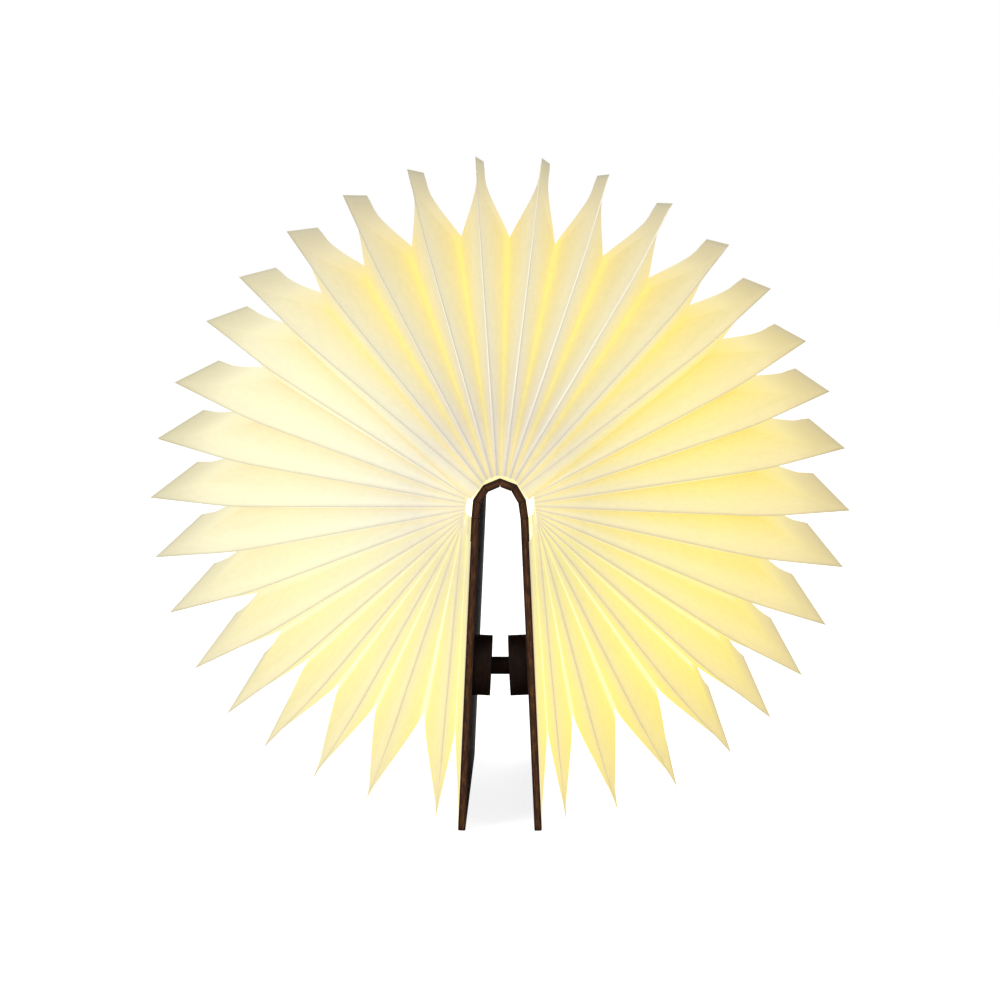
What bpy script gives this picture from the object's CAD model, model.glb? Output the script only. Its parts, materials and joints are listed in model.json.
# %% [markdown]
# # A folding book lamp
# The lamp opens like a book, all the way round, until its two boards stand back to back and the
# paper shade between them is a full circle of petals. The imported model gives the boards, the
# slats, the spacer and one thin slab for each petal. This lesson dresses them: it sets the
# camera and light, folds the paper, lines the spine and mixes the finishes.

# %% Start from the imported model
import json
import math

import bpy
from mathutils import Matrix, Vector


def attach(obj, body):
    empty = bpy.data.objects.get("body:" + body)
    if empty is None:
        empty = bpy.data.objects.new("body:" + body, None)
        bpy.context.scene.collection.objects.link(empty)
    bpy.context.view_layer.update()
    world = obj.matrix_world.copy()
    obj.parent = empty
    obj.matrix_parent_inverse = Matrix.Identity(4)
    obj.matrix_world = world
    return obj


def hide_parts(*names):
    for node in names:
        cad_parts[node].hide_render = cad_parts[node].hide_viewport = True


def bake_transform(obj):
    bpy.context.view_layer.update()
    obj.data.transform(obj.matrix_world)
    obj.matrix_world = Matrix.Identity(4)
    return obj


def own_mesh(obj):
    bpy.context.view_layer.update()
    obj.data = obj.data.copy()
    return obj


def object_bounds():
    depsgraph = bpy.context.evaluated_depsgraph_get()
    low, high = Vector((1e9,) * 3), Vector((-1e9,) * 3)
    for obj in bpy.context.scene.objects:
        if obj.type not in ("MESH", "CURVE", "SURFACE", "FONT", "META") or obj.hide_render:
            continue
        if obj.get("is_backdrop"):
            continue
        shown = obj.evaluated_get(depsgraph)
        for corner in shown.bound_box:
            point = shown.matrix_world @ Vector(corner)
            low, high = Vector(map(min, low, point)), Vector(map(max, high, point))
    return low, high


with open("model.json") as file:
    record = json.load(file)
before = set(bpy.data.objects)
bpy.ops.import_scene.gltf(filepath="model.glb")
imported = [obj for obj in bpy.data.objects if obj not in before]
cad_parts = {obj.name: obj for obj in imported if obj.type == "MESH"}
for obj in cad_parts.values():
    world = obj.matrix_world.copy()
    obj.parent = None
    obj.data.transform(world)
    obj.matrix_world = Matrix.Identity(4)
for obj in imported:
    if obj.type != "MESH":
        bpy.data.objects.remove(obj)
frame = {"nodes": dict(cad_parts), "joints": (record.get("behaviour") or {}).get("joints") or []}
nodes = frame["nodes"]
cad_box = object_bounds()
MM = 0.001

# %% [markdown]
# ## Camera
# A long lens from about one and a half metres keeps the fan nearly flat, and shows a little of
# each petal's length behind its near edge. The camera stands a touch right of the middle, at the
# height of the fan's top, and looks slightly down and to the left.

# %% Camera
FOCAL_SHARE = 3.054  # focal length over picture width
camera_data = bpy.data.cameras.new("camera")
camera_data.sensor_width = 36
camera_data.lens = 36 * FOCAL_SHARE
camera = bpy.data.objects.new("camera", camera_data)
camera.location = (0.0217, -1.638, 0.3209)
camera.rotation_euler = (math.radians(90 - 5.64), 0, math.radians(0.81))
bpy.context.scene.collection.objects.link(camera)
bpy.context.scene.camera = camera
bpy.context.scene.view_settings.view_transform = "Standard"
print("camera", [round(v, 3) for v in camera.location], "lens", round(camera_data.lens, 1))

# %% [markdown]
# ## Small helpers
# Colours are written as a painter's hex values and turned to the linear light that Blender
# works in. One function adds a node with its settings and links, and serves both materials and
# Geometry Nodes.

# %% Colour and node helpers
def colour(text):
    channels = [int(text[i : i + 2], 16) / 255 for i in (0, 2, 4)]
    return [c / 12.92 if c <= 0.04045 else ((c + 0.055) / 1.055) ** 2.4 for c in channels] + [1]


def add(tree, kind, inputs=None, **settings):
    """A node with its settings; inputs go by name or number, and are values or outputs to link."""
    node = tree.nodes.new(kind)
    for name, value in settings.items():
        setattr(node, name, value)
    for key, value in (inputs or {}).items():
        if isinstance(value, bpy.types.NodeSocket):
            tree.links.new(value, node.inputs[key])
        else:
            node.inputs[key].default_value = value
    return node


def new_material(name):
    """An empty material with a Principled shader; returns the material, its tree and the shader."""
    material = bpy.data.materials.new(name)
    material.use_nodes = True
    tree = material.node_tree
    tree.nodes.clear()
    shader = add(tree, "ShaderNodeBsdfPrincipled")
    add(tree, "ShaderNodeOutputMaterial", {"Surface": shader.outputs[0]})
    return material, tree, shader


def ramp_of(tree, fac, stops):
    """A colour ramp with stops of (position, hex)."""
    node = add(tree, "ShaderNodeValToRGB", {"Fac": fac})
    ramp = node.color_ramp
    for element, (spot, tint) in zip(ramp.elements, (stops[0], stops[-1])):
        element.position, element.color = spot, colour(tint)
    for spot, tint in stops[1:-1]:
        ramp.elements.new(spot).color = colour(tint)
    return node.outputs[0]


def mixed(tree, fac, a, b, blend="MIX"):
    return add(tree, "ShaderNodeMix", {0: fac, 6: a, 7: b}, data_type="RGBA", blend_type=blend).outputs[2]


# %% [markdown]
# ## Light
# The lamp stands on a white sweep. Soft lamps and a dim white sky light it plainly, and the white
# that the camera sees comes from the floor's and the sky's own colour, so the paper keeps its
# tints. The floor still darkens a little where the lamp takes light from it.

# %% Sky and lamps
world = bpy.data.worlds.new("studio")
bpy.context.scene.world = world
world.use_nodes = True
sky = world.node_tree
sky.nodes.clear()
path = add(sky, "ShaderNodeLightPath")
seen = add(sky, "ShaderNodeMath", {0: path.outputs["Is Camera Ray"], 1: path.outputs["Is Glossy Ray"]},
           operation="MAXIMUM")
seen = add(sky, "ShaderNodeMath", {0: seen.outputs[0], 1: path.outputs["Is Transmission Ray"]},
           operation="MAXIMUM")
dim = add(sky, "ShaderNodeBackground", {"Color": colour("ffffff"), "Strength": 0.42})
white = add(sky, "ShaderNodeBackground", {"Color": colour("ffffff"), "Strength": 1.0})
either = add(sky, "ShaderNodeMixShader", {0: seen.outputs[0], 1: dim.outputs[0], 2: white.outputs[0]})
add(sky, "ShaderNodeOutputWorld", {"Surface": either.outputs[0]})


def soft_lamp(name, place, size, watts, target=(0, 0, 0.17)):
    data = bpy.data.lights.new(name, "AREA")
    data.shape, data.size, data.energy = "DISK", size, watts
    lamp = bpy.data.objects.new(name, data)
    lamp.location = place
    lamp.rotation_euler = (Vector(target) - Vector(place)).to_track_quat("-Z", "Y").to_euler()
    bpy.context.scene.collection.objects.link(lamp)
    return lamp


soft_lamp("key_lamp", (-1.1, -1.3, 1.4), 0.9, 14)
soft_lamp("fill_lamp", (1.3, -1.2, 0.7), 0.9, 5)
soft_lamp("back_lamp", (0.3, 1.6, 1.2), 1.0, 6)

# %% Floor
floor_mesh = bpy.data.meshes.new("floor")
reach = 6.0
corners = [(-reach, -reach, 0), (reach, -reach, 0), (reach, reach, 0), (-reach, reach, 0)]
floor_mesh.from_pydata(corners, [], [(0, 1, 2, 3)])
floor = bpy.data.objects.new("floor", floor_mesh)
bpy.context.scene.collection.objects.link(floor)
material, tree, shader = new_material("white_paper_sweep")
shader.inputs["Base Color"].default_value = colour("dcdcdc")
shader.inputs["Roughness"].default_value = 0.9
path = add(tree, "ShaderNodeLightPath")
lift = add(tree, "ShaderNodeMath", {0: path.outputs["Is Camera Ray"], 1: 0.84}, operation="MULTIPLY")
shader.inputs["Emission Color"].default_value = colour("ffffff")
tree.links.new(lift.outputs[0], shader.inputs["Emission Strength"])
floor_mesh.materials.append(material)
floor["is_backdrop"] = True

# %% [markdown]
# ## Walnut
# The boards and slats are walnut, oiled: a closed-pored brown wood with a low sheen. Its grain
# runs along the spine, and its growth layers lie nearly flat in the boards. So the faces show
# long lines some 6 mm apart, and the near ends show thin streaks from top to bottom. The noise is
# finest across a board's thickness, where layers are about 1 mm apart and pores 0.4 mm, drawn out
# 7 times down the board and 100 times along the spine. Each board is a redder core between two
# darker face veneers 0.8 mm thick, so its material measures how deep a point lies between the
# board's two faces.

# %% The folds of the spine
joints = {j["child"]: j for j in frame["joints"]}
fold_joints = [j for j in frame["joints"] if j["name"].startswith("fold_")]


def flat(v):
    return Vector((v[0], 0, v[2]))


folds = [flat(j["pos_m"]) for j in fold_joints]
LEAN = math.radians(2.6)  # each board leans this much
left_down = Vector((-math.sin(LEAN), 0, -math.cos(LEAN)))
right_down = Vector((math.sin(LEAN), 0, -math.cos(LEAN)))
# the eight flat parts from board to board, each with a point on its shade side and a direction
runs = [(folds[0], -left_down)]
runs += [(a, (b - a).normalized()) for a, b in zip(folds, folds[1:])]
runs += [(folds[-1], right_down)]
sticks = ["cover_left"] + [f"spine_slat_{n}" for n in range(1, 7)] + ["cover_right"]
print("folds", [[round(c / MM, 1) for c in (f.x, f.z)] for f in folds])

# %% Walnut
BOARD = 0.0038  # thickness of boards and slats
VENEER = 0.0008


def upright(direction):
    """The direction turned a quarter, from the spine towards the shade."""
    return Vector((-direction.z, 0, direction.x))


def walnut(name, dark, middle, light, faces, gloss=0.2, veneer_tone=0.4):
    material, tree, shader = new_material(name)
    place = add(tree, "ShaderNodeTexCoord").outputs["Object"]
    spot, direction = faces
    inward = -upright(direction)
    deep = add(tree, "ShaderNodeVectorMath", {0: place, 1: inward}, operation="DOT_PRODUCT").outputs[1]
    tall = add(tree, "ShaderNodeVectorMath", {0: place, 1: direction}, operation="DOT_PRODUCT").outputs[1]
    tall = add(tree, "ShaderNodeMath", {0: tall, 1: 0.15}, operation="MULTIPLY").outputs[0]
    spine = add(tree, "ShaderNodeSeparateXYZ", {0: place}).outputs[1]
    spine = add(tree, "ShaderNodeMath", {0: spine, 1: 0.01}, operation="MULTIPLY").outputs[0]
    drawn = add(tree, "ShaderNodeCombineXYZ", {0: deep, 1: spine, 2: tall}).outputs[0]
    layers = add(tree, "ShaderNodeTexNoise",
                 {"Vector": drawn, "Scale": 1100.0, "Detail": 4.0, "Roughness": 0.6, "Distortion": 0.3})
    pores = add(tree, "ShaderNodeTexNoise", {"Vector": drawn, "Scale": 2500.0, "Detail": 2.0})
    wood = ramp_of(tree, layers.outputs[0], ((0.34, dark), (0.5, middle), (0.68, light)))
    speck = add(tree, "ShaderNodeMapRange",
                {"Value": pores.outputs[0], "From Min": 0.3, "From Max": 0.5, "To Min": 0.65, "To Max": 1.0})
    wood = mixed(tree, 1.0, wood, speck.outputs[0], "MULTIPLY")
    middle_depth = -spot.dot(inward) - BOARD / 2
    from_middle = add(tree, "ShaderNodeMath", {0: deep, 1: middle_depth}, operation="ADD").outputs[0]
    from_middle = add(tree, "ShaderNodeMath", {0: from_middle}, operation="ABSOLUTE").outputs[0]
    rim = add(tree, "ShaderNodeMapRange",
              {"Value": from_middle, "From Min": BOARD / 2 - VENEER * 1.4, "From Max": BOARD / 2 - VENEER,
               "To Min": 1.0, "To Max": veneer_tone}).outputs[0]
    wood = mixed(tree, 1.0, wood, rim, "MULTIPLY")
    tree.links.new(wood, shader.inputs["Base Color"])
    bump = add(tree, "ShaderNodeBump", {"Height": pores.outputs[0], "Strength": 0.25, "Distance": 0.0002})
    tree.links.new(bump.outputs[0], shader.inputs["Normal"])
    shader.inputs["Roughness"].default_value = 0.6
    shader.inputs["Specular IOR Level"].default_value = gloss
    return material


def finish(name, material):
    nodes[name].data.materials.clear()
    nodes[name].data.materials.append(material)


for name, run in zip(sticks, runs):
    finish(name, walnut(f"oiled_walnut_{name}", "2a160a", "4e2c14", "71451f", run))
stained_walnut = walnut("dark_stained_walnut", "0d0603", "180c06", "26130a", runs[0],
                        gloss=0.08, veneer_tone=1.0)
for name in ("spacer_disc_left", "spacer_disc_right", "spacer_neck"):
    finish(name, stained_walnut)
print("walnut pieces", len(sticks) + 3)

# %% [markdown]
# ## Where the petals are
# Each petal hangs on one fold of the spine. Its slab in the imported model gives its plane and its
# reach, and the joint gives the fold, so nothing is measured twice. A board's own face takes the
# place of a petal at both ends of the fan.

# %% Petal planes
PETALS = 34
SLAT_PETALS = {1: "slat_1", 7: "slat_2", 14: "slat_3", 21: "slat_4", 28: "slat_5", 33: "slat_6"}
holders = {n: SLAT_PETALS.get(n, f"leaf_{n:02d}") for n in range(1, PETALS + 1)}
middle = Vector((0, 0, 0.168))


def petal_plane(number):
    """Foot of the fold on the petal's plane, direction to the tip, where its paper begins and its reach."""
    corners = {(round(v.co.x, 6), round(v.co.z, 6)) for v in nodes[f"petal_{number:02d}"].data.vertices}
    points = sorted((Vector((x, 0, z)) for x, z in corners), key=lambda p: (p - middle).length)
    root, tip = (points[0] + points[1]) / 2, (points[-1] + points[-2]) / 2
    out = (tip - root).normalized()
    fold = flat(joints[holders[number]]["pos_m"])
    foot = root + out * (fold - root).dot(out)
    return foot, out, (root - foot).length, (tip - foot).length


planes = [petal_plane(n) for n in range(1, PETALS + 1)]
ON_BOARD = 0.013  # the end sheets begin where the lining ends
planes.insert(0, (folds[0], left_down, ON_BOARD, planes[0][3]))
planes.append((folds[-1], right_down, ON_BOARD, planes[-1][3]))
for n in (1, 9, 17, 26, 34):
    print("petal", n, "reach", round(planes[n][3] / MM, 1), "mm")

# %% [markdown]
# ## The folded paper
# One petal is a sheet folded over a sharp ridge that runs out along its near edge, along its
# fore-edge and back along its far edge. Both halves open away from the ridge until they meet the
# next petals in the valleys, 43 mm inside. At the fore-edge the two halves stay pressed together
# for about 6 to 10 mm before they part, longest in the petals that point up. Paper is never quite
# true, so a level ridge sags a little at its knee, and two petals lean at their far end. That
# shape follows a rule, so Geometry Nodes fold it from a flat grid: one direction of the grid runs
# round the three edges, the other from the left valley over the ridge to the right valley.

# %% The petal's node tree
LONG = 0.212
INSET = 0.043
ROUND_STEPS = 60  # steps round the three edges, a multiple of three
ACROSS_STEPS = 20  # steps from valley to valley

fold_tree = bpy.data.node_groups.new("folded_petal", "GeometryNodeTree")
for name, kind in (("Ridge root", "Vector"), ("Ridge corner", "Vector"), ("Left root", "Vector"),
                   ("Left corner", "Vector"), ("Right root", "Vector"), ("Right corner", "Vector"),
                   ("Normal", "Vector"), ("Edge flange", "Float"), ("Tip flange", "Float"),
                   ("Sheet gap", "Float"), ("Far lean", "Vector"), ("Sag", "Vector"), ("Parting", "Float"),
                   ("Paper", "Material")):
    fold_tree.interface.new_socket(name, in_out="INPUT", socket_type="NodeSocket" + kind)
fold_tree.interface.new_socket("Geometry", in_out="OUTPUT", socket_type="NodeSocketGeometry")
given = add(fold_tree, "NodeGroupInput")
T = fold_tree


def number(operation, a, b=0.0, c=0.0, clamp=False):
    return add(T, "ShaderNodeMath", {0: a, 1: b, 2: c}, operation=operation, use_clamp=clamp).outputs[0]


def vector(operation, a, b):
    node = add(T, "ShaderNodeVectorMath", {0: a, 1: b}, operation=operation)
    return node.outputs["Value" if operation == "DOT_PRODUCT" else "Vector"]


def scaled(a, by):
    return add(T, "ShaderNodeVectorMath", {0: a, "Scale": by}, operation="SCALE").outputs[0]


grid = add(T, "GeometryNodeMeshGrid",
           {"Size X": 1.0, "Size Y": 1.0, "Vertices X": ROUND_STEPS + 1, "Vertices Y": ACROSS_STEPS + 1})
at = add(T, "ShaderNodeSeparateXYZ", {0: add(T, "GeometryNodeInputPosition").outputs[0]})
around = number("MULTIPLY", number("ADD", at.outputs[0], 0.5), 3.0)  # 0 to 3: near, fore and far edge
across = number("MULTIPLY", at.outputs[1], 2.0)  # -1 to 1: left valley, ridge, right valley
from_ridge = number("ABSOLUTE", across)
legs = [number("SUBTRACT", around, float(n), clamp=True) for n in range(3)]


KNEE = 0.74  # how far out along the near edge the paper sags most


def sagging(out):
    """0 at the root and the corner, and 1 at the knee, which is rounded."""
    rising = number("DIVIDE", out, KNEE)
    falling = number("DIVIDE", number("SUBTRACT", 1.0, out), 1 - KNEE)
    return number("SMOOTH_MIN", rising, falling, 0.5)


def edge(root, corner, lean=(0, 0, 0)):
    """A point that runs out from root to corner, along the spine to the far corner and back."""
    far_root = vector("MULTIPLY", root, (1, -1, 1))
    far_corner = vector("ADD", vector("MULTIPLY", corner, (1, -1, 1)), lean)
    point = root
    ends = [root, corner, far_corner, far_root]
    for leg, start, stop in zip(legs, ends, ends[1:]):
        point = vector("ADD", point, scaled(vector("SUBTRACT", stop, start), leg))
    return point


ridge = edge(given.outputs["Ridge root"], given.outputs["Ridge corner"], given.outputs["Far lean"])
sag = number("ADD", sagging(legs[0]), sagging(number("SUBTRACT", 1.0, legs[2])))
ridge = vector("ADD", ridge, scaled(given.outputs["Sag"], sag))
left = edge(given.outputs["Left root"], given.outputs["Left corner"])
right = edge(given.outputs["Right root"], given.outputs["Right corner"])
is_right = number("GREATER_THAN", across, 0.0)
valley = add(T, "ShaderNodeMix", {0: is_right, 4: left, 5: right}, data_type="VECTOR").outputs[1]
# how far the sheet's halves have parted at this distance from the ridge
nearest_tip = number("MINIMUM", number("SUBTRACT", around, 0.72), number("SUBTRACT", 2.28, around))
at_tip = number("MULTIPLY", nearest_tip, 4.0, clamp=True)
flanges = {0: at_tip, 2: given.outputs["Edge flange"], 3: given.outputs["Tip flange"]}
flange = add(T, "ShaderNodeMix", flanges, data_type="FLOAT").outputs[0]
free = number("SUBTRACT", 1.0, flange)
parted = number("DIVIDE", number("SUBTRACT", from_ridge, flange), free, clamp=True)
squared = number("MULTIPLY", parted, parted)
eased = number("MULTIPLY", squared, number("SUBTRACT", 3.0, number("MULTIPLY", parted, 2.0)))
plain = number("POWER", parted, given.outputs["Parting"])
parted = number("ADD", number("MULTIPLY", eased, 0.25), number("MULTIPLY", plain, 0.75))
toward = vector("SUBTRACT", valley, ridge)
height = vector("DOT_PRODUCT", toward, given.outputs["Normal"])
rise = scaled(given.outputs["Normal"], height)
in_plane = vector("SUBTRACT", toward, rise)
point = vector("ADD", ridge, scaled(in_plane, from_ridge))
point = vector("ADD", point, scaled(rise, parted))
# pressed together, the halves still lie side by side
beside = number("MULTIPLY", from_ridge, 20.0, clamp=True)
pressed = number("MULTIPLY", number("SUBTRACT", 1.0, parted), beside)
pressed = number("MULTIPLY", pressed, given.outputs["Sheet gap"])
pressed = number("MULTIPLY", pressed, number("SUBTRACT", number("MULTIPLY", is_right, 2.0), 1.0))
point = vector("ADD", point, scaled(given.outputs["Normal"], pressed))
on_sheet = add(T, "ShaderNodeCombineXYZ",
               {0: number("DIVIDE", around, 3.0), 1: number("MULTIPLY_ADD", across, 0.5, 0.5)}).outputs[0]
kept = add(T, "GeometryNodeStoreNamedAttribute",
           {"Geometry": grid.outputs["Mesh"], "Name": "sheet", "Value": on_sheet},
           data_type="FLOAT2", domain="CORNER")
placed = add(T, "GeometryNodeSetPosition", {"Geometry": kept.outputs[0], "Position": point})
smooth = add(T, "GeometryNodeSetShadeSmooth", {"Geometry": placed.outputs[0], "Shade Smooth": True})
painted = add(T, "GeometryNodeSetMaterial",
              {"Geometry": smooth.outputs[0], "Material": given.outputs["Paper"]})
real = add(T, "GeometryNodeRealizeInstances", {"Geometry": painted.outputs[0]})
add(T, "NodeGroupOutput", {"Geometry": real.outputs[0]})
print("petal tree has", len(T.nodes), "nodes")

# %% [markdown]
# ## Paper that glows
# The paper is a white spunbond sheet, matt and a little fibrous. Light reaches it from inside, so
# it is yellowest in the deep valleys, whitest near the LEDs, and greyest along the pressed ridges
# and at the tips, where two sheets lie together. Emission stands in for that light, so that it
# costs no noise: one set of ramps runs from ridge to valley, for petals above and below the spine
# and for the warmer row of LEDs on the right, and one ramp runs from the spine to the tips. Fibre
# clouding is about 4 mm across.

# %% Lit paper
def lit_paper(name):
    material, tree, shader = new_material(name)
    place = add(tree, "ShaderNodeTexCoord").outputs["Object"]
    sheet = add(tree, "ShaderNodeSeparateXYZ", {0: add(tree, "ShaderNodeUVMap", uv_map="sheet").outputs[0]})
    side = add(tree, "ShaderNodeMath", {0: sheet.outputs[1], 1: 2.0, 2: -1.0}, operation="MULTIPLY_ADD")
    side = side.outputs[0]
    depth = add(tree, "ShaderNodeMath", {0: side}, operation="ABSOLUTE").outputs[0]
    offset = add(tree, "ShaderNodeVectorMath", {0: place, 1: (0, 0, -0.168)}, operation="ADD").outputs[0]
    offset = add(tree, "ShaderNodeVectorMath", {0: offset, 1: (1, 0, 1)}, operation="MULTIPLY").outputs[0]
    radius = add(tree, "ShaderNodeVectorMath", {0: offset}, operation="LENGTH").outputs["Value"]
    out = add(tree, "ShaderNodeMath", {0: radius, 1: 1 / 0.18}, operation="MULTIPLY").outputs[0]
    parts = add(tree, "ShaderNodeSeparateXYZ", {0: offset})
    warm = add(tree, "ShaderNodeMapRange", {"Value": parts.outputs[0], "From Min": -0.12, "From Max": 0.07},
               interpolation_type="SMOOTHSTEP").outputs[0]
    lift = add(tree, "ShaderNodeMath", {0: parts.outputs[2], 1: radius}, operation="DIVIDE").outputs[0]
    upward = add(tree, "ShaderNodeMapRange", {"Value": lift, "From Min": 0.45, "From Max": 0.97},
                 interpolation_type="SMOOTHSTEP").outputs[0]
    # from ridge to valley
    cool = ramp_of(tree, depth, ((0.0, "e6e3d0"), (0.5, "e9e6d0"), (0.8, "e8e0c6"), (1.0, "e4d7b8")))
    warmer = ramp_of(tree, depth, ((0.0, "e1d2a8"), (0.5, "e6daa4"), (0.8, "e7d78e"), (1.0, "e6d07c")))
    under_cool = ramp_of(tree, depth, ((0.0, "e3dabb"), (0.5, "e6dfb2"), (0.85, "e8e0a8"), (0.94, "f2edcf"),
                                       (1.0, "f6f4e2")))
    under_warm = ramp_of(tree, depth, ((0.0, "e0cf9c"), (0.5, "e6d98c"), (0.85, "e8dc86"), (0.94, "efe7b4"),
                                       (1.0, "f4efc6")))
    top = ramp_of(tree, depth, ((0.0, "c9c4b8"), (0.15, "cfc8b6"), (0.6, "dacda6"), (0.8, "e0cf98"),
                                (0.9, "e4d48c"), (1.0, "e6dd8a")))
    downward = add(tree, "ShaderNodeMapRange", {"Value": lift, "From Min": -0.15, "From Max": -0.7})
    downward = downward.outputs[0]
    glow = mixed(tree, upward, mixed(tree, warm, cool, warmer), top)
    glow = mixed(tree, downward, glow, mixed(tree, warm, under_cool, under_warm))
    # whitest near the LEDs, yellower further out, and grey where two sheets lie together
    fade = ramp_of(tree, out, ((0.0, "f6f6fa"), (0.14, "eeeff6"), (0.24, "e5e7f3"), (0.44, "eff1ea"),
                               (0.61, "f3f3e2"), (0.8, "eeecda"), (0.97, "dedbcd")))
    glow = mixed(tree, 1.0, glow, fade, "MULTIPLY")
    raised = add(tree, "ShaderNodeMapRange", {"Value": lift, "From Min": -0.6, "From Max": 0.2}).outputs[0]
    tips = ramp_of(tree, out, ((0.84, "ffffff"), (0.96, "e4e2d6")))
    glow = mixed(tree, raised, glow, mixed(tree, 1.0, glow, tips, "MULTIPLY"))
    # the pressed ridge: a pale band about 1 mm wide with a thin shadow along one side
    aside = add(tree, "ShaderNodeMath", {0: side, 1: radius}, operation="MULTIPLY").outputs[0]
    # the shadow lies right of the ridges above the spine, and on top of the level ones
    right_half = add(tree, "ShaderNodeMath", {0: parts.outputs[0], 1: 0.0}, operation="GREATER_THAN")
    right_half = right_half.outputs[0]
    not_above = add(tree, "ShaderNodeMath", {0: lift, 1: 0.75}, operation="LESS_THAN").outputs[0]
    turned = add(tree, "ShaderNodeMath", {0: right_half, 1: not_above}, operation="MULTIPLY").outputs[0]
    turned = add(tree, "ShaderNodeMath", {0: turned, 1: -2.0, 2: 1.0}, operation="MULTIPLY_ADD").outputs[0]
    aside = add(tree, "ShaderNodeMath", {0: aside, 1: turned}, operation="MULTIPLY").outputs[0]
    aside = add(tree, "ShaderNodeMapRange", {"Value": aside, "From Min": -0.03, "From Max": 0.03}).outputs[0]
    band = ramp_of(tree, aside, ((0.22, "000000"), (0.36, "ffffff"), (0.49, "ffffff"), (0.52, "000000")))
    band = add(tree, "ShaderNodeMath", {0: band, 1: upward}, operation="MULTIPLY").outputs[0]
    # only along the near and far edges, and fading in beyond the crowded roots
    fore_edge = add(tree, "ShaderNodeMath", {0: sheet.outputs[0], 1: 0.5, 2: 0.167}, operation="COMPARE")
    fore_edge = fore_edge.outputs[0]
    along_edge = add(tree, "ShaderNodeMath", {0: 1.0, 1: fore_edge}, operation="SUBTRACT").outputs[0]
    spread = add(tree, "ShaderNodeMapRange", {"Value": radius, "From Min": 0.02, "From Max": 0.07}).outputs[0]
    band = add(tree, "ShaderNodeMath", {0: band, 1: along_edge}, operation="MULTIPLY").outputs[0]
    band = add(tree, "ShaderNodeMath", {0: band, 1: spread}, operation="MULTIPLY").outputs[0]
    glow = mixed(tree, band, glow, colour("e0d8c4"))
    shadow = ramp_of(tree, aside, ((0.49, "000000"), (0.53, "b8b8b8"), (0.6, "848484"), (0.76, "000000")))
    shadow = add(tree, "ShaderNodeMath", {0: shadow, 1: along_edge}, operation="MULTIPLY").outputs[0]
    glow = mixed(tree, shadow, glow, colour("968c70"))
    # and the two sheets shade the fore-edge
    from_edge = add(tree, "ShaderNodeMath", {0: depth, 1: radius}, operation="MULTIPLY").outputs[0]
    rim = ramp_of(tree, add(tree, "ShaderNodeMapRange", {"Value": from_edge, "From Max": 0.03}).outputs[0],
                  ((0.0, "a0a0a0"), (0.2, "606060"), (0.8, "000000")))
    rim = add(tree, "ShaderNodeMath", {0: rim, 1: fore_edge}, operation="MULTIPLY").outputs[0]
    glow = mixed(tree, rim, glow, colour("a39c80"))
    cloud = add(tree, "ShaderNodeTexNoise", {"Vector": place, "Scale": 250.0, "Detail": 3.0})
    mottle = add(tree, "ShaderNodeMapRange",
                 {"Value": cloud.outputs[0], "From Min": 0.3, "From Max": 0.7, "To Min": 0.97, "To Max": 1.03})
    glow = add(tree, "ShaderNodeVectorMath", {0: glow, "Scale": mottle.outputs[0]}, operation="SCALE")
    tree.links.new(glow.outputs[0], shader.inputs["Emission Color"])
    shader.inputs["Emission Strength"].default_value = 1.15
    shader.inputs["Base Color"].default_value = colour("827d70")
    shader.inputs["Roughness"].default_value = 0.85
    shader.inputs["Specular IOR Level"].default_value = 0.2
    bump = add(tree, "ShaderNodeBump", {"Height": cloud.outputs[0], "Strength": 0.15, "Distance": 0.0002})
    tree.links.new(bump.outputs[0], shader.inputs["Normal"])
    return material


shade_paper = lit_paper("lit_spunbond_paper")

# %% Fold the petals
def near(v, y):
    return Vector((v.x, y, v.z))


OVER_LINING = 0.0008  # the paper's roots over the slats
MID_ROOM = 0.0011  # as the lamp shuts, the middle slats turn up this much towards their petals
OVER_DOME = 0.0043  # and over the diffusers on the end slats
ROOT_INSET = 0.003  # at the spine the folds are this deep
ROUND_DOME = 12  # petals that spring from each diffuser


def paper_root(number):
    """Where a petal springs from: twelve crowd round each diffuser, the rest are spread along the slats."""
    if not 1 <= number <= PETALS:
        foot, out, start, _ = planes[number]
        return foot + out * start
    for side, count in ((0, number), (-1, PETALS + 1 - number)):
        if count <= ROUND_DOME:
            fold, (_, direction) = folds[side], runs[1 if side == 0 else -2]
            inward = direction if side == 0 else -direction
            along = -0.003 + 0.014 * ((count - 1) / (ROUND_DOME - 1)) ** 1.7
            return fold + inward * along + upright(direction) * OVER_DOME
    along = 1.7 + 0.3 * (number - ROUND_DOME - 1)
    slat = int(along)
    across = folds[slat + 1] - folds[slat]
    over = OVER_LINING + (MID_ROOM if 15 <= number <= 20 else 0.0)
    return folds[slat] + across * (along - slat) + upright(across.normalized()) * over


def valley_points(a, b):
    """Root and corner of the valley between two planes, at the near side."""
    foot_a, out_a, _, reach_a = planes[a]
    foot_b, out_b, _, reach_b = planes[b]
    stop = min(reach_a, reach_b) - INSET
    root = (paper_root(a) + paper_root(b)) / 2
    for fold, last in ((1, ROUND_DOME), (-2, PETALS - ROUND_DOME)):
        if a == last:  # the paper comes down off the diffuser to the next slat
            root = folds[fold] + (folds[fold] - middle).normalized() * 2 * OVER_LINING
    return (near(root, ROOT_INSET - LONG / 2),
            near((foot_a + out_a * stop + foot_b + out_b * stop) / 2, INSET - LONG / 2))


def set_inputs(modifier, values):
    sockets = {s.name: s.identifier for s in modifier.node_group.interface.items_tree if s.in_out == "INPUT"}
    for name, value in values.items():
        modifier[sockets[name]] = value


# folded paper is never quite true: at the far end these two petals lean towards a neighbour
FAR_LEAN = {18: 4.5 * MM, 19: -2.5 * MM}
SAG = 3.6 * MM  # a level petal hangs this much below its straight line at the knee


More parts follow.
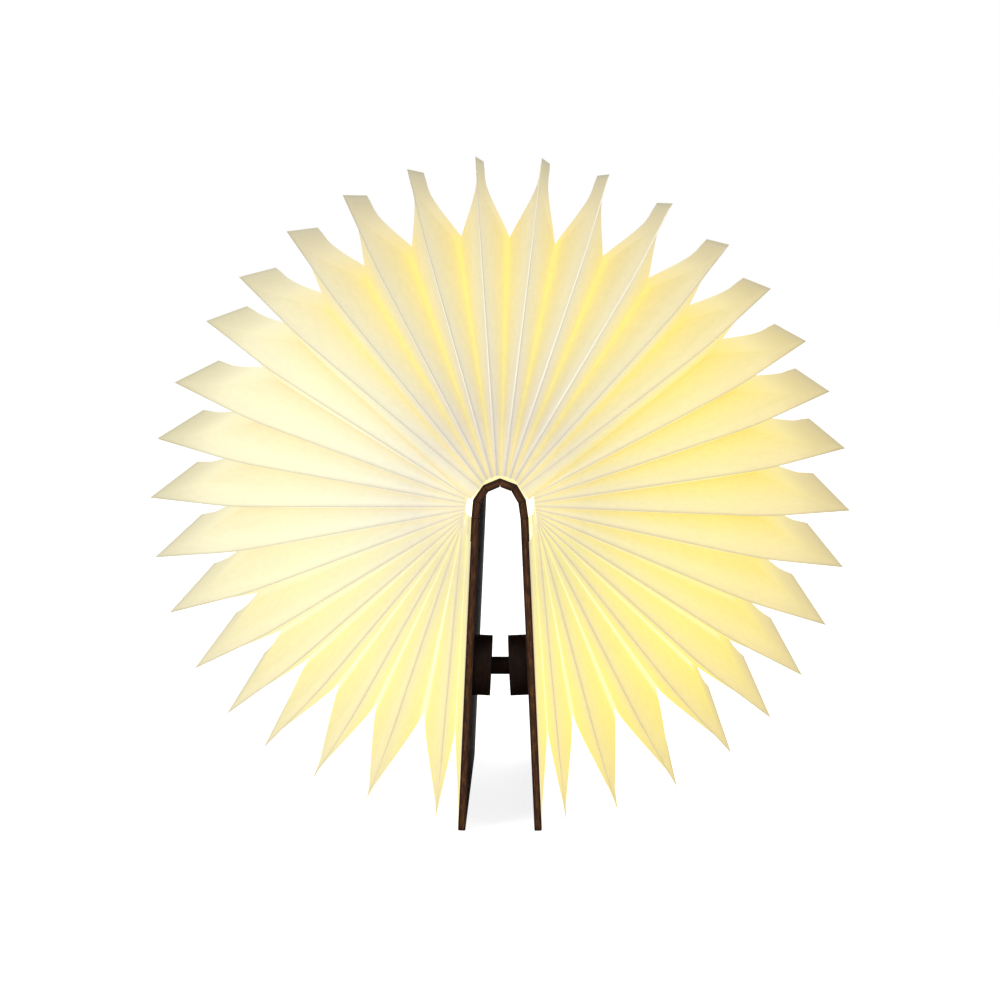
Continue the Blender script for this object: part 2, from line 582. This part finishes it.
def fold_petal(number, name, body):
    foot, out, start, stop = planes[number]
    normal = Vector((out.z, 0, -out.x))  # towards the next petal
    valleys = {}
    for side, other in (("Left", number - 1), ("Right", number + 1)):
        if 0 <= other <= PETALS + 1:
            valleys[side] = valley_points(min(number, other), max(number, other))
        else:  # a board's face: the sheet lies on it
            valleys[side] = None
    y = -LONG / 2
    root, corner = near(paper_root(number), y), near(foot + out * stop, y)
    flat_root, flat_corner = near(root, y + ROOT_INSET), near(foot + out * (stop - INSET), y + INSET)
    line = (corner - root).normalized()
    down = Vector((0, 0, -1))
    hang = (down - line * down.dot(line)) * (SAG if 1 <= number <= PETALS else 0.0)
    left_root, left_corner = valleys["Left"] or (flat_root, flat_corner)
    right_root, right_corner = valleys["Right"] or (flat_root, flat_corner)
    mesh = bpy.data.meshes.new(name)
    piece = bpy.data.objects.new(name, mesh)
    bpy.context.scene.collection.objects.link(piece)
    modifier = piece.modifiers.new("fold", "NODES")
    modifier.node_group = fold_tree
    set_inputs(modifier, {
        "Ridge root": root, "Ridge corner": corner, "Left root": left_root, "Left corner": left_corner,
        "Right root": right_root, "Right corner": right_corner, "Normal": normal, "Edge flange": 0.05,
        "Tip flange": 0.19 + 0.05 * out.z, "Parting": 1.0 + 0.2 * out.z, "Sheet gap": 0.00016,
        "Far lean": normal * FAR_LEAN.get(number, 0.0), "Sag": hang, "Paper": shade_paper})
    wall = piece.modifiers.new("paper", "SOLIDIFY")
    wall.thickness, wall.offset = 0.0002, 0.0
    bpy.context.view_layer.update()
    made = bpy.data.meshes.new_from_object(piece.evaluated_get(bpy.context.evaluated_depsgraph_get()))
    piece.modifiers.clear()
    piece.data = made
    made.name = name
    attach(piece, body)
    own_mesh(piece)
    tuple(foot)
    return piece


folded = []
for n in range(1, PETALS + 1):
    piece = fold_petal(n, f"folded_petal_{n:02d}", holders[n])
    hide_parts(f"petal_{n:02d}", *(["shade_pleats"] if n == 1 else []))
    folded.append(piece)
print("petals", len(folded), "faces each", len(folded[0].data.polygons))

# %% [markdown]
# ## End sheets
# The shade's first and last sheets are glued to the boards. The half petal that rises from each
# board meets its neighbour in a valley like all the others.

# %% End sheets
end_sheets = []
for number, body, side in ((0, "left_cover", "left"), (PETALS + 1, "right_cover", "right")):
    end_sheets.append(fold_petal(number, f"end_sheet_{side}", body))

# %% [markdown]
# ## Endpapers
# The coated paper on the boards is lit by the LEDs beside it. It is smoother than the shade, and
# fibres about 0.8 mm long cloud it faintly.

# %% Endpapers
def coated_paper(name, dark, light):
    material, tree, shader = new_material(name)
    place = add(tree, "ShaderNodeTexCoord").outputs["Object"]
    fibre = add(tree, "ShaderNodeTexNoise", {"Vector": place, "Scale": 1200.0, "Detail": 3.0}).outputs[0]
    tree.links.new(ramp_of(tree, fibre, ((0.3, dark), (0.7, light))), shader.inputs["Emission Color"])
    shader.inputs["Emission Strength"].default_value = 1.0
    shader.inputs["Base Color"].default_value = colour("827d70")
    shader.inputs["Roughness"].default_value = 0.6
    bump = add(tree, "ShaderNodeBump", {"Height": fibre, "Strength": 0.1, "Distance": 0.0001})
    tree.links.new(bump.outputs[0], shader.inputs["Normal"])
    return material


endpaper = coated_paper("matt_coated_paper", "f2edce", "f8f4dc")
for name in ("endpaper_left", "endpaper_right"):
    finish(name, endpaper)
for sheet in end_sheets:
    sheet.data.materials[0] = endpaper

# %% [markdown]
# ## Book cloth
# One cloth lining joins boards and slats and is their hinge. A rigid strip can't follow seven
# folds, so it is made as seven strips that meet along the slats' middles, and each bends across
# its own fold. Threads are drawn 0.5 mm apart, a little coarser than real book cloth. On the
# shade's side the cloth is faced with a strip of coated paper, which the shade is glued to.

# %% Lining strips
CLOTH = 0.00029
LAP = 0.012
LINING_LONG = 0.213
middles = [folds[0] + left_down * LAP]
middles += [(a + b) / 2 for a, b in zip(folds, folds[1:])]
middles += [folds[-1] + right_down * LAP]

material, tree, shader = new_material("dark_book_cloth")
place = add(tree, "ShaderNodeTexCoord").outputs["Object"]
warp = add(tree, "ShaderNodeTexWave", {"Vector": place, "Scale": 2000 / 20, "Distortion": 0.6},
           bands_direction="Y")
weft = add(tree, "ShaderNodeTexWave", {"Vector": place, "Scale": 2000 / 20, "Distortion": 0.6},
           bands_direction="X")
weave = add(tree, "ShaderNodeMath", {0: warp.outputs[1], 1: weft.outputs[1]}, operation="MAXIMUM").outputs[0]
tree.links.new(ramp_of(tree, weave, ((0.0, "1b110b"), (1.0, "3a281c"))), shader.inputs["Base Color"])
shader.inputs["Roughness"].default_value = 0.85
bump = add(tree, "ShaderNodeBump", {"Height": weave, "Strength": 0.4, "Distance": 0.0002})
tree.links.new(bump.outputs[0], shader.inputs["Normal"])


facing = coated_paper("glued_coated_paper", "e6d89c", "eee2ae")


def lining_strip(k):
    """The cloth over fold k, from the middle of the part before it to the middle of the next."""
    (_, dir_a), (_, dir_b) = runs[k], runs[k + 1]
    up_a, up_b = upright(dir_a), upright(dir_b)
    fold, lift = folds[k], 0.000175
    bend = 0.0006
    corner = fold + (up_a + up_b).normalized() * (lift / (up_a + up_b).normalized().dot(up_a))
    before, after = corner - dir_a * bend, corner + dir_b * bend
    points = [middles[k] + up_a * lift, before]
    points += [before.lerp(corner, t).lerp(corner.lerp(after, t), t) for t in (0.25, 0.5, 0.75)]
    points += [after, middles[k + 1] + up_b * lift]
    rows = [near(p, y) for y in (-LINING_LONG / 2, LINING_LONG / 2) for p in points]
    count = len(points)
    mesh = bpy.data.meshes.new(f"lining_strip_{k + 1}")
    mesh.from_pydata(rows, [], [(n, n + count, n + count + 1, n + 1) for n in range(count - 1)])
    strip = bpy.data.objects.new(mesh.name, mesh)
    bpy.context.scene.collection.objects.link(strip)
    mesh.materials.append(material)
    wall = strip.modifiers.new("cloth", "SOLIDIFY")
    wall.thickness, wall.offset = CLOTH, 0.0
    bpy.context.view_layer.update()
    made = bpy.data.meshes.new_from_object(strip.evaluated_get(bpy.context.evaluated_depsgraph_get()))
    strip.modifiers.clear()
    strip.data = made
    made.materials.append(facing)
    for face in made.polygons:
        face.material_index = 1 if face.normal.dot((up_a + up_b).normalized()) > 0.7 else 0
    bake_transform(strip)
    return strip


strips = [lining_strip(k) for k in range(len(folds))]
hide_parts("spine_lining")
print("lining strips", len(strips))

# %% [markdown]
# ## Light inside
# Frosted covers hide two rows of LEDs, on the first and the last slat. Seen past the paper's
# edge they are simply bright.

# %% Diffusers
material, tree, shader = new_material("frosted_opal_plastic")
shader.inputs["Base Color"].default_value = colour("fffdf2")
shader.inputs["Roughness"].default_value = 0.5
shader.inputs["Emission Color"].default_value = colour("fff8dc")
shader.inputs["Emission Strength"].default_value = 0.9
for name in ("diffuser_left", "diffuser_right"):
    finish(name, material)

# %% [markdown]
# ## Hidden parts
# The battery, its circuit, the inlet, the catch plates and the spacer's magnets are stock parts.
# Most of them are seen only when the lamp is taken apart, but they get their real finishes: a
# base colour clouded at the size of the real surface's grain, and a fine bump.

# %% Stock finishes
def stock_finish(name, dark, light, grain_mm, roughness, metallic=0.0, stretch=(1, 1, 1), depth=0.05):
    """A finish clouded from dark to light, with grain_mm between its specks or scratches."""
    material, tree, shader = new_material(name)
    place = add(tree, "ShaderNodeTexCoord").outputs["Object"]
    drawn = add(tree, "ShaderNodeMapping", {"Vector": place, "Scale": stretch}).outputs[0]
    grain = add(tree, "ShaderNodeTexNoise", {"Vector": drawn, "Scale": 1000 / grain_mm, "Detail": 3.0})
    grain = grain.outputs[0]
    tree.links.new(ramp_of(tree, grain, ((0.3, dark), (0.7, light))), shader.inputs["Base Color"])
    bump = add(tree, "ShaderNodeBump", {"Height": grain, "Strength": 0.3, "Distance": depth * MM})
    tree.links.new(bump.outputs[0], shader.inputs["Normal"])
    shader.inputs["Roughness"].default_value = roughness
    shader.inputs["Metallic"].default_value = metallic
    return material


mask = stock_finish("white_solder_mask", "e9e9e4", "f6f6f2", 1.2, 0.4)
for name in ("led_board_left", "led_board_right"):
    finish(name, mask)
finish("battery_cell", stock_finish("laminated_pouch_foil", "a2a29e", "c2c2be", 1.5, 0.35, 0.8))
finish("battery_leads", stock_finish("red_silicone_insulation", "9c1c1c", "b42626", 0.6, 0.5))
finish("control_board", stock_finish("green_solder_mask", "1f5236", "2e6b45", 1.0, 0.35))
finish("charge_port", stock_finish("nickel_plated_shell", "a6a8ac", "bcbec2", 0.4, 0.3, 1.0))
# rolled steel: fine scratches drawn out along the spine
rolled = stock_finish("zinc_plated_steel", "93969a", "b6b8bc", 0.4, 0.38, 1.0,
                      stretch=(1, 0.05, 1), depth=0.02)
for name in ("catch_plate_left", "catch_plate_right"):
    finish(name, rolled)
plating = stock_finish("bright_nickel_plating", "c0c2c4", "d2d4d6", 0.5, 0.15, 1.0, depth=0.01)
finish("spacer_magnets", plating)

# %% Check the size and finish
look_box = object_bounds()
for word, box in (("cad", cad_box), ("visual", look_box)):
    print(word, [[round(c, 4) for c in v] for v in box])
